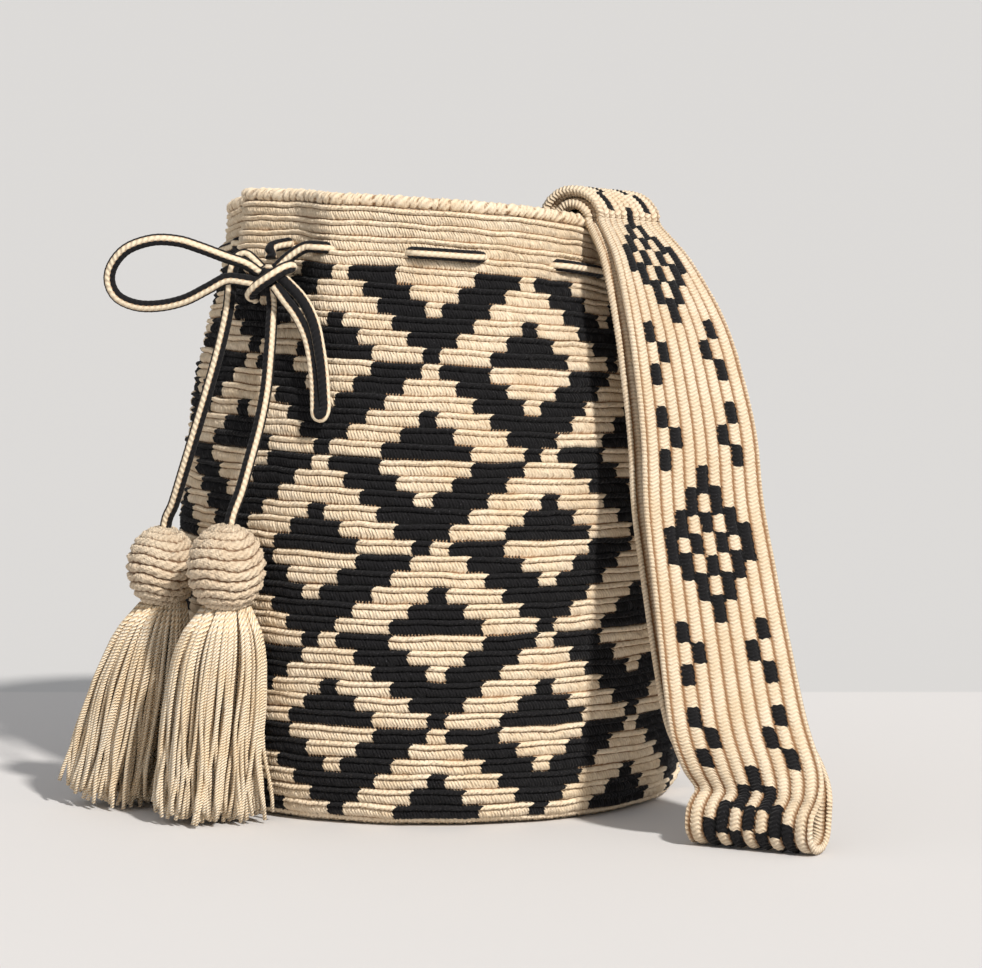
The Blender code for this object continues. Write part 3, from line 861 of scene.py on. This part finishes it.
# %% Knot
KNOT_HALF = np.array([0.0105, 0.0075, 0.0085])
KNOT_TURN = math.atan2(KNOT_AT[0], -KNOT_AT[1])
KNOT_WAYS = np.array([[math.cos(KNOT_TURN), math.sin(KNOT_TURN), 0.0],      # along the wall
                      [math.sin(KNOT_TURN), -math.cos(KNOT_TURN), 0.0],     # out of the wall
                      [0.0, 0.0, 1.0]])
OVER_TURN = [
    (-0.0795, -0.0805, 0.2312), (-0.0812, -0.0850, 0.2332), (-0.0780, -0.0900, 0.2370),
    (-0.0718, -0.0925, 0.2414), (-0.0664, -0.0912, 0.2446), (-0.0632, -0.0875, 0.2454),
    (-0.0640, -0.0830, 0.2440)]


def knot_point(offsets):
    """The knot's middle plus offsets along the wall, out of it and upwards."""
    return KNOT_AT + np.asarray(offsets) @ KNOT_WAYS


def make_knot():
    """An ellipsoid by latitude and longitude, swollen along four slanting folds."""
    polar = np.linspace(0.03, math.pi - 0.03, 34)[:, None]
    turns = np.arange(41) / 40
    turn = turns[:-1] * 2 * math.pi
    fold = 0.80 + 0.09 * np.abs(np.cos(2 * turn + 1.4 * polar))
    offsets = fold[..., None] * KNOT_HALF * np.stack(
        np.broadcast_arrays(np.cos(polar), np.sin(polar) * np.cos(turn),
                            np.sin(polar) * np.sin(turn)), axis=-1)
    travel = np.linspace(0.0, 0.02, 34)
    made = surface("knot_lump", knot_point(offsets)[::-1], braided, uv=(turns, travel))
    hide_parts("drawstring_knot")
    return made


make_knot()
braid("knot_turn", OVER_TURN, "drawstring_knot", 111.0, thick=5.4 * MM)

# %% [markdown]
# ## The shoulder strap
# The strap is a flat woven band, nine ribs wide, with diamonds and groups of dots worked into
# it. It leaves the mouth on the right, arches over the rim, comes down in two layers and folds
# at the floor. A flat ribbon with a bump map would look printed, so the ribs, the grooves and
# the small slanting stitches across each rib are part of the section that is carried along.

# %% The strap's way and its section
STRAP_WIDTH = 0.060
STRAP_T = 0.0045
ARC_R = 0.0830           # radius of the rim that both layers arch over
ARC_Z = 0.2611           # height of the middle of those arches
STRAP_LEAN = 0.085       # near the rim, the strap falls this much per metre of its width
INNER_ARC = 0.0088
OUTER_ARC = 0.0140
FRONT_LAYER = np.array([          # x, y, z and the turn of the width in degrees, down to the floor
    (0.0962, -0.0660, 0.2460, 55.0), (0.1060, -0.0850, 0.2200, 44.0),
    (0.1120, -0.0960, 0.1930, 37.0), (0.1155, -0.1040, 0.1700, 32.0),
    (0.1172, -0.1140, 0.1425, 29.0), (0.1210, -0.1240, 0.1155, 25.0),
    (0.1250, -0.1340, 0.0883, 20.0), (0.1308, -0.1480, 0.0524, 8.0),
    (0.1365, -0.1560, 0.0340, -10.0)])
LAYER_GAPS = [0.0060, 0.0075, 0.0088, 0.0095, 0.0095, 0.0095, 0.0095, 0.0095, 0.0092]
TOE_AT = (0.1390, -0.1630)
TOE_TURN = -30.0
TOE_FOLD = [(-0.0092, 0.0240), (-0.0088, 0.0160), (-0.0075, 0.0078), (-0.0045, 0.0040),
            (0.0, 0.0028), (0.0050, 0.0040), (0.0080, 0.0075), (0.0085, 0.0115),
            (0.0072, 0.0165), (0.0035, 0.0200), (-0.0002, 0.0240)]
ACROSS_MOUTH = [
    (0.0668, 0.2480), (0.0625, 0.2350), (0.0520, 0.2150), (0.0200, 0.1990),
    (-0.0220, 0.1990), (-0.0560, 0.2130), (-0.0750, 0.2350), (-0.0790, 0.2500), (-0.0795, 0.2640)]


def facing(turn):
    """The way a strap faces whose width is turned by this many degrees from +X."""
    turn = np.radians(turn)
    return np.stack([np.sin(turn), -np.cos(turn), 0 * turn], axis=-1)


def over_rim(stations):
    """Stations given as distance from the axis and height, in the plane of the strap."""
    distance, height = np.array(stations).T
    spots = round_the_bag(STRAP_ANGLE, distance, height)
    return np.column_stack([spots, np.full(len(spots), STRAP_ANGLE)])


def arch(radius, start, end):
    """Half a turn over the rim, between two angles from the outside."""
    angles = np.radians(np.linspace(start, end, 9))
    return over_rim(np.column_stack([ARC_R + radius * np.cos(angles),
                                     ARC_Z + radius * np.sin(angles)]))


def strap_route():
    """x, y, z and turn from one sewn end to the other: up inside, over the rim, down behind,
    round the fold at the floor, up in front, over the rim again and across the mouth."""
    gaps = np.array(LAYER_GAPS)[:, None]
    behind = FRONT_LAYER.copy()
    behind[:, :3] -= facing(FRONT_LAYER[:, 3]) * gaps
    away, height = np.array(TOE_FOLD).T
    toe = np.column_stack([np.array(TOE_AT) + away[:, None] * facing(TOE_TURN)[:2],
                           height, np.full(len(away), TOE_TURN)])
    start = over_rim([(ARC_R - INNER_ARC, 0.2380), (ARC_R - INNER_ARC, 0.2500)])
    return np.vstack([start, arch(INNER_ARC, 180.0, 0.0), behind, toe, FRONT_LAYER[::-1],
                      arch(OUTER_ARC, 0.0, 180.0), over_rim(ACROSS_MOUTH)])


route = smooth_curve(strap_route(), 2 * MM)
STRAP_LENGTH = float(lengths(route)[-1])
print("strap length:", round(STRAP_LENGTH * 1000), "mm")

# %% [markdown]
# The strap's pattern repeats every fourteen rows: a hollow diamond with four dots in it, then
# small groups near both edges. As on the wall, it is a rule on the distance from the middle
# rib and the middle row.

# %% Strap pattern and surface
RIBS = 9
RIB = 6.25 * MM
STRAP_ROW = 9.7 * MM
STRAP_REPEAT = 14
STRAP_GRID = 1100        # rings of points along the strap
RIB_PROFILE = np.array([ # share of the rib, proud in mm, how far the stitch slants in mm
    (0.00, -1.15, 0.0), (0.25, 0.00, -0.6), (0.50, 0.42, 0.0), (0.75, 0.00, 0.6)])
DIAMOND_HEIGHT = 0.126   # where the middle of one diamond lies on the front layer


def strap_is_black(rib, row):
    """Black on the outline of the diamond, where the blocks are longer than a row so that they
    join up, on its four dots, and on the groups of blocks between two diamonds."""
    row = row % STRAP_REPEAT
    away, off = np.abs(rib), np.abs((row + 3.5) % STRAP_REPEAT - 7.0)
    outline = (away <= 3) & (np.abs(off - (3 - away)) <= np.where(away == 3, 0.90, 0.66))
    dots = (away <= 1) & (np.abs(off - (1 - away)) <= 0.48)
    side = np.where((np.abs(off - 5.0) <= 0.5), 2, 3)
    groups = (off > 3.5) & (off <= 6.5) & (away == side)
    return outline | dots | groups


def strap_section():
    """Once round the section: place across, side (1 front, -1 back), proud, slant and rib."""
    ribs = np.repeat(np.arange(RIBS) - RIBS // 2, len(RIB_PROFILE))
    table = np.tile(RIB_PROFILE, (RIBS, 1))
    place = (ribs - 0.5 + table[:, 0]) * RIB
    ribs, place = np.append(ribs, RIBS // 2 + 1), np.append(place, RIBS / 2 * RIB)
    table = np.vstack([table, RIB_PROFILE[:1]])
    face = np.column_stack([place, np.ones(len(place)), table[:, 1], table[:, 2], ribs])
    edge = np.array([[29.3 * MM, 1.0, -0.1, 0.0, 9], [30.6 * MM, 0.0, 0.0, 0.5, 9],
                     [29.3 * MM, -1.0, -0.1, 0.0, 9]])
    flip = np.array([-1.0, -1.0, 1.0, 1.0, 1.0])
    back = face * [1.0, -1.0, 1.0, 1.0, 1.0]
    return np.vstack([face, edge, back[::-1], edge * flip])


def make_strap():
    """Each point: the route at its distance, plus its place along the width, plus half the
    thickness and its height along the way the strap faces."""
    place, side, out, slant, rib = strap_section().T
    travel = np.linspace(0.0, STRAP_LENGTH, STRAP_GRID)
    ring = np.arange(STRAP_GRID)[:, None]
    rough = rng.normal(0.0, 0.09, (STRAP_GRID, len(place)))
    groove = (out < -0.5).astype(float)
    stitch = np.where(ring % 2 == 0, 0.20, -0.20) * (1 - groove)
    dots = -0.5 * groove * (ring % 4 == 0)
    inside = np.minimum(1.0, np.minimum(travel, STRAP_LENGTH - travel)[:, None] / (3 * MM))
    distance = np.clip(travel[:, None] + slant * MM * inside, 0.0, STRAP_LENGTH)
    spots = along(route, distance)
    ahead = unit(along(route, np.minimum(distance + MM, STRAP_LENGTH))[..., :3]
                 - along(route, np.maximum(distance - MM, 0.0))[..., :3])
    turn = np.radians(spots[..., 3])
    lean = -STRAP_LEAN * smoothstep((spots[..., 2] - 0.20) / 0.05)
    width_way = np.stack([np.cos(turn), np.sin(turn), lean], axis=-1)
    out_way = unit(np.cross(ahead, width_way))
    height = out + stitch + dots + rough
    curl = -0.6 * MM * smoothstep((np.abs(place) - 24 * MM) / (7 * MM))
    thick = side * (STRAP_T / 2 - 0.2 * MM + height * MM) + curl
    points = spots[..., :3] + width_way * place[:, None] + out_way * thick[..., None]
    front_start = lengths(route)[np.argmin(np.abs(route[:, 2] - DIAMOND_HEIGHT)
                                           + 9 * (route[:, 1] > -0.100)
                                           + 9 * (np.arange(len(route)) < TOE_INDEX))]
    row = (distance - front_start) / STRAP_ROW + 3.5
    black = strap_is_black(rib, row)
    next_door = strap_is_black(np.where(groove > 0, rib - 1, rib), row)
    black = (black & (rib < 9)).astype(float) * 0.5 + (next_door & (rib < 9)) * 0.5
    proud = np.clip((height + 1.0) / 1.7, 0.0, 1.0)
    raised = np.where(ring % 2 == 0, 1.0, 0.0) * (1 - groove) + 0.5 * groove
    made = surface("woven_strap", points, strap_crochet,
                   values={"black": black[None], "proud": proud[None], "strand": raised[None]})
    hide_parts("shoulder_strap")
    return made


TOE_INDEX = int(np.argmin(route[:, 2]))
make_strap()

# %% [markdown]
# ## Sewing
# Both ends of the strap are sewn to the wall inside the mouth with the same cream yarn. One
# zigzag of thin yarn on each end shows the stitches.

# %% Sewn ends
SEAM_R = 0.0008
SEAM_STITCHES = 11
LEFT_END = 0.0793        # distance from the axis of the strap's far end


def plied_finish():
    """Plied yarn: two strands twisted together draw slanting stripes of painted shade on the yarn's
    own map.
    """
    shop = Shop("plied_yarn", Sheen_Weight=0.12, Sheen_Roughness=0.5, Specular_IOR_Level=0.3)
    map_uv = shop.node("ShaderNodeUVMap", {"uv_map": "yarn"})
    parts = shop.tree.nodes.new("ShaderNodeSeparateXYZ")
    shop.plug(parts.inputs[0], map_uv)
    around, travel = (Value(shop, parts.outputs[k]) for k in (0, 1))
    place = shop.place()
    fuzz = shop.noise(place, 2500.0, 2.0, 0.6)
    shade = shop.noise(place, 70.0, 2.0)
    ply = (around * (4 * math.pi) + travel * (2 * math.pi / (1.5 * MM))).math("SINE")
    # Painted shade: the grooves between the plies are painted a darker brown.
    lit = (ply * 0.42 + fuzz * 0.5 + 0.25).between(-0.25, 0.80)
    top = shop.blend(shade.between(0.35, 0.65), (0.940, 0.780, 0.555, 1.0),
                     (0.980, 0.870, 0.690, 1.0))
    colour = shop.blend(lit, (0.740, 0.490, 0.255, 1.0), top)
    return shop.finish(colour, 0.72 + fuzz * 0.2, ply * 0.7 + fuzz * 0.3, 0.0005)


plied = plied_finish()


def make_seam(name, distance, height, node):
    """A zigzag across the strap's width, three millimetres up and down in each stitch."""
    number = np.arange(SEAM_STITCHES + 1)
    across = (number / SEAM_STITCHES - 0.5) * (STRAP_WIDTH - 0.008)
    rise = np.where(number % 2 == 1, 0.003, -0.003)
    spots = round_the_bag(STRAP_ANGLE, distance, height + rise)
    path = smooth_curve(spots + facing(STRAP_ANGLE + 90.0) * across[:, None], 1 * MM)
    made = tube(name, path, SEAM_R, plied, sides=8, up=tuple(facing(STRAP_ANGLE + 0.0)),
                uv=(np.arange(9) / 8, lengths(path)))
    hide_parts(node)
    return made


make_seam("sewing_right", ARC_R - INNER_ARC - STRAP_T / 2 - SEAM_R - 0.0004, 0.2430,
          "strap_seam_right")
make_seam("sewing_left", -(LEFT_END - STRAP_T / 2 - SEAM_R - 0.0004), 0.2560, "strap_seam_left")

# %% [markdown]
# ## The tassel balls
# Each tail ends in a small crocheted ball, stuffed with yarn ends. It is worked in rounds like
# the wall, so it has the same ridges, on an ellipsoid. Its rounds are a little uneven, since a
# ball this small is pulled out of shape by its own stuffing.

# %% Balls
BALLS = {"left": ((-0.1219, -0.0620, 0.1095), (0.0157, 0.0157, 0.0186)),
         "right": ((-0.0917, -0.1000, 0.1136), (0.0168, 0.0168, 0.0198))}
BALL_ROUNDS = 13
BALL_PROFILE = np.array([(0.00, -1.10), (0.12, -0.20), (0.28, 0.45), (0.45, 0.60), (0.60, 0.35),
                         (0.74, 0.20), (0.88, -0.25)])
BALL_COLUMNS = 96


def make_ball(side):
    """Latitude runs down the ball in rounds. A point is the middle plus the half sizes times
    its direction, plus its height in the round along that direction."""
    middle, half = (np.array(numbers) for numbers in BALLS[side])
    share, out = np.tile(BALL_PROFILE, (BALL_ROUNDS, 1)).T
    rounds = np.repeat(np.arange(BALL_ROUNDS), len(BALL_PROFILE)) + share
    columns = np.arange(BALL_COLUMNS)
    turn = columns / BALL_COLUMNS * 2 * math.pi
    tilt = (0.10 * np.sin(turn + (0.6 if side == "left" else 2.2)) + 0.06 * np.sin(3 * turn)
            + 0.014 * np.sin(7 * turn + 3.0 * rounds[:, None]))
    ends = np.sin(rounds / BALL_ROUNDS * math.pi)[:, None]
    polar = rounds[:, None] / BALL_ROUNDS * math.pi + tilt * ends
    polar = np.clip(polar, 0.02, math.pi - 0.02)
    steps = np.arange(len(share))[:, None] % 7
    strand = np.where((columns + steps) % 4 < 2, 0.18, -0.18) * (out > -0.5)[:, None]
    lump = 0.20 * np.cos(2 * math.pi * (columns / 8 + 0.31 * np.floor(rounds)[:, None]))
    height = (out[:, None] + strand + lump * (out > 0)[:, None]) * ends
    height = height + rng.normal(0.0, 0.22, height.shape)
    raised = np.clip(0.5 + 2.2 * strand + rng.normal(0.0, 0.2, height.shape), 0.0, 1.0)
    way = np.stack([np.sin(polar) * np.sin(turn), -np.sin(polar) * np.cos(turn), np.cos(polar)],
                   axis=-1)
    points = middle + half * way + way * height[..., None] * MM
    proud = np.clip((height + 0.9) / 1.6, 0.0, 1.0)
    made = surface(f"{side}_ball", points, tassel_crochet,
                   values={"black": 0.0, "proud": proud[None], "strand": raised[None]})
    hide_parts(f"{side}_tassel_ball")
    return made


balls = {side: make_ball(side) for side in BALLS}

# %% [markdown]
# ## The fringes
# Under each ball hangs a bundle of cut plied yarn that spreads until it touches the floor.
# Hair particles would draw thousands of hairs too thin for yarn, so each strand is a slender
# tube with a few faces, and all strands of one tassel are made in one go as a stack of paths.

# %% Strands
FRINGES = {"left": ((-0.1405, -0.0460), (0.0285, 0.0200)),
           "right": ((-0.1020, -0.0950), (0.0230, 0.0165))}
SHORT_SIDE = {"left": 9 * MM, "right": 3 * MM}    # the cut rises towards -X
STRANDS = 260
STRAND_STEPS = 15
STRAND_R = 0.92 * MM
SPREAD_DOWN = {           # share of the fall, share of the full spread
    "left": np.array([(0.00, 0.36), (0.05, 0.52), (0.15, 0.65), (0.35, 0.80), (0.70, 0.94),
                      (1, 1)]),
    "right": np.array([(0.00, 0.46), (0.04, 0.68), (0.10, 0.83), (0.20, 0.93), (0.40, 0.99),
                       (1, 1)])}


def make_fringe(side):
    """A strand's way: the lean of the tassel at its height, plus its own place in the bundle
    times the spread there, plus slow waves that grow downwards."""
    (x, y, z), (_, _, half_z) = BALLS[side]
    foot, spread = (np.array(numbers) for numbers in FRINGES[side])
    top = z - half_z + 2.5 * MM
    fall = np.linspace(0.0, 1.0, STRAND_STEPS)[None, :, None]
    turn = rng.uniform(0.0, 2 * math.pi, STRANDS)
    out = np.sqrt(rng.uniform(0.10, 1.0, STRANDS)) * 0.97
    place = (np.stack([np.cos(turn), np.sin(turn)], axis=-1) * out[:, None])[:, None, :]
    wide = np.interp(fall, *SPREAD_DOWN[side].T)
    lean = np.array([x, y]) + (foot - [x, y]) * fall ** 0.6
    phase = rng.uniform(0.0, 2 * math.pi, (STRANDS, 1, 2))
    pace = rng.uniform(0.6, 1.7, (STRANDS, 1, 2))
    sway = np.sin(fall * 2 * math.pi * pace + phase) * fall * 1.5 * MM
    stray = np.clip(rng.standard_t(2.5, (STRANDS, 1, 2)), -6.0, 6.0) * (fall ** 2) * 1.4 * MM
    flat = lean + place * spread * wide + sway + stray
    end = rng.uniform(0.9, 7.0, (STRANDS, 1, 1)) * MM
    end = end + SHORT_SIDE[side] * np.clip(-place[..., :1], 0.0, 1.0) ** 2
    dome = 2.2 * MM * (1 - out[:, None, None] ** 2) * (1 - fall)
    height = top + dome - (top - end) * (0.75 * fall + 0.25 * np.sqrt(fall))
    path = np.concatenate([flat, height], axis=-1)
    travel = np.linspace(0.0, top, STRAND_STEPS)
    made = tube(f"{side}_fringe", path, STRAND_R, plied, sides=5, up=(0.0, -1.0, 0.0),
                uv=(np.arange(6) / 5, travel))
    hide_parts(f"{side}_tassel_fringe")
    return made


fringes = {side: make_fringe(side) for side in FRINGES}

# %% [markdown]
# ## What is soft
# The two loops and the two tails are free lengths of the one limp cord. The length of each,
# measured along its own path, is printed.

# %% Free cords
for cord, path, end, hanging in (
        (bow, bow_path, "object", ()), (short, short_path, "object", ()),
        (left_tail, left_path, "fitting", (balls["left"], fringes["left"])),
        (right_tail, right_path, "fitting", (balls["right"], fringes["right"]))):
    print(cord.name, "is", round(float(lengths(path)[-1]) * 1000), "mm long")
